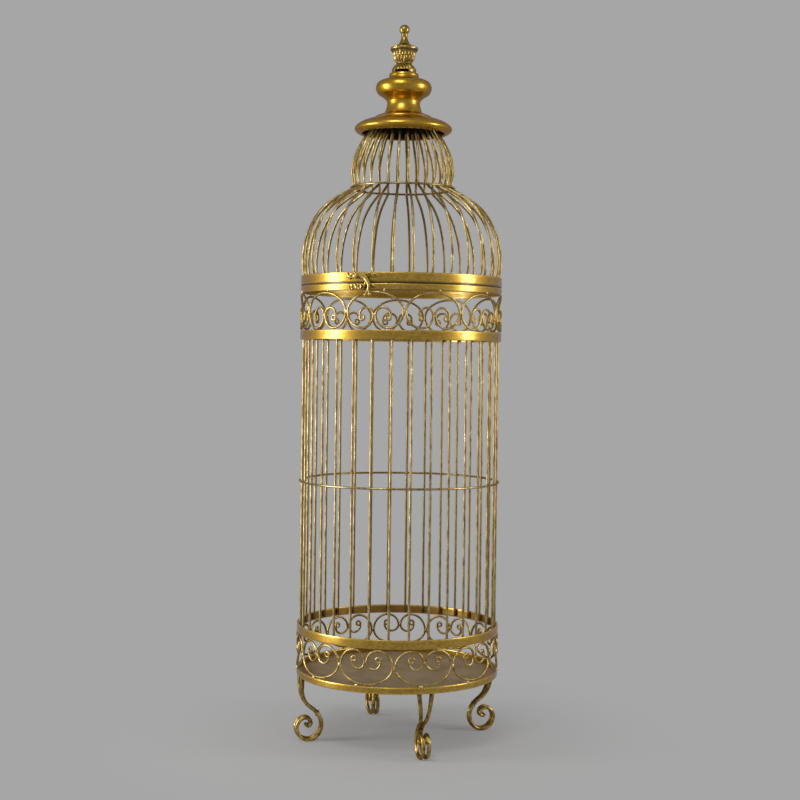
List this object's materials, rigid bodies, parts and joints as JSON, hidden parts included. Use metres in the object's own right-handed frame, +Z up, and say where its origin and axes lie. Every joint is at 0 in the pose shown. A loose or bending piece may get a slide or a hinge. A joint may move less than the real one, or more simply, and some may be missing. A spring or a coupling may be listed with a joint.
{
  "type": "bird cage",
  "caption": "Tall round wire bird cage with a hinged onion dome, scrollwork friezes, a turned crown with urn finial, a front hook and scrolled double-rod legs.",
  "frame": {"origin": "on the ground under the middle of the cage", "axes": "+Z up, -Y towards the hook that holds the dome shut, +Y towards the hinge, +X to the right of someone facing the hook"},
  "size_m": [0.3336, 0.3442, 1.1684],
  "materials": {
    "gilt_frieze": "bright antique gold over bent steel wire",
    "gilt_flat_bar": "rubbed antique gold over rolled steel flat bar",
    "gilt_rod": "streaked antique gold over drawn steel rod",
    "gilt_leg": "darker antique gold over bent steel rod",
    "gilt_turned": "polished antique gold over a hollow aluminium casting",
    "gilt_fittings": "antique gold over steel stampings and rivets",
    "dark_inner_metal": "dull blackened steel inside the crown",
    "floor_paint": "matt brown-bronze paint on sheet steel"
  },
  "bodies": {
    "cage_body": {"leg_1": "gilt_leg", "leg_2": "gilt_leg", "leg_3": "gilt_leg", "leg_4": "gilt_leg", "base_ring": "gilt_flat_bar", "floor_sheet": "floor_paint", "lower_frieze": "gilt_frieze", "lower_band": "gilt_flat_bar", "bar_01": "gilt_rod", "bar_02": "gilt_rod", "bar_03": "gilt_rod", "bar_04": "gilt_rod", "bar_05": "gilt_rod", "bar_06": "gilt_rod", "bar_07": "gilt_rod", "bar_08": "gilt_rod", "bar_09": "gilt_rod", "bar_10": "gilt_rod", "bar_11": "gilt_rod", "bar_12": "gilt_rod", "bar_13": "gilt_rod", "bar_14": "gilt_rod", "bar_15": "gilt_rod", "bar_16": "gilt_rod", "bar_17": "gilt_rod", "bar_18": "gilt_rod", "bar_19": "gilt_rod", "bar_20": "gilt_rod", "bar_21": "gilt_rod", "bar_22": "gilt_rod", "bar_23": "gilt_rod", "bar_24": "gilt_rod", "bar_25": "gilt_rod", "bar_26": "gilt_rod", "bar_27": "gilt_rod", "bar_28": "gilt_rod", "bar_29": "gilt_rod", "bar_30": "gilt_rod", "bar_31": "gilt_rod", "bar_32": "gilt_rod", "mid_hoop": "gilt_rod", "upper_band": "gilt_flat_bar", "upper_frieze": "gilt_frieze", "body_rim": "gilt_flat_bar", "hinge_lower_leaf": "gilt_fittings", "hinge_pin": "gilt_fittings", "latch_lower_plate": "gilt_fittings", "latch_stud": "gilt_fittings"},
    "dome": {"dome_rim": "gilt_flat_bar", "dome_wires": "gilt_rod", "top_plate": "dark_inner_metal", "tie_rod": "dark_inner_metal", "tie_rod_nut": "dark_inner_metal", "crown": "gilt_turned", "finial": "gilt_turned", "hinge_upper_leaf": "gilt_fittings", "latch_upper_plate": "gilt_fittings", "latch_pivot_rivet": "gilt_fittings"},
    "hook": {"latch_hook": "gilt_fittings"}
  },
  "joints": [
    {"name": "dome_hinge", "type": "hinge", "parent": "cage_body", "child": "dome", "pos_m": [0, 0.16855, 0.7352], "axis": [-1, 0, 0], "range_deg": [0, 180]},
    {"name": "hook_swing", "type": "hinge", "parent": "dome", "child": "hook", "pos_m": [-0.0095, -0.1683, 0.7455], "axis": [0, -1, 0], "range_deg": [0, 180]}
  ]
}
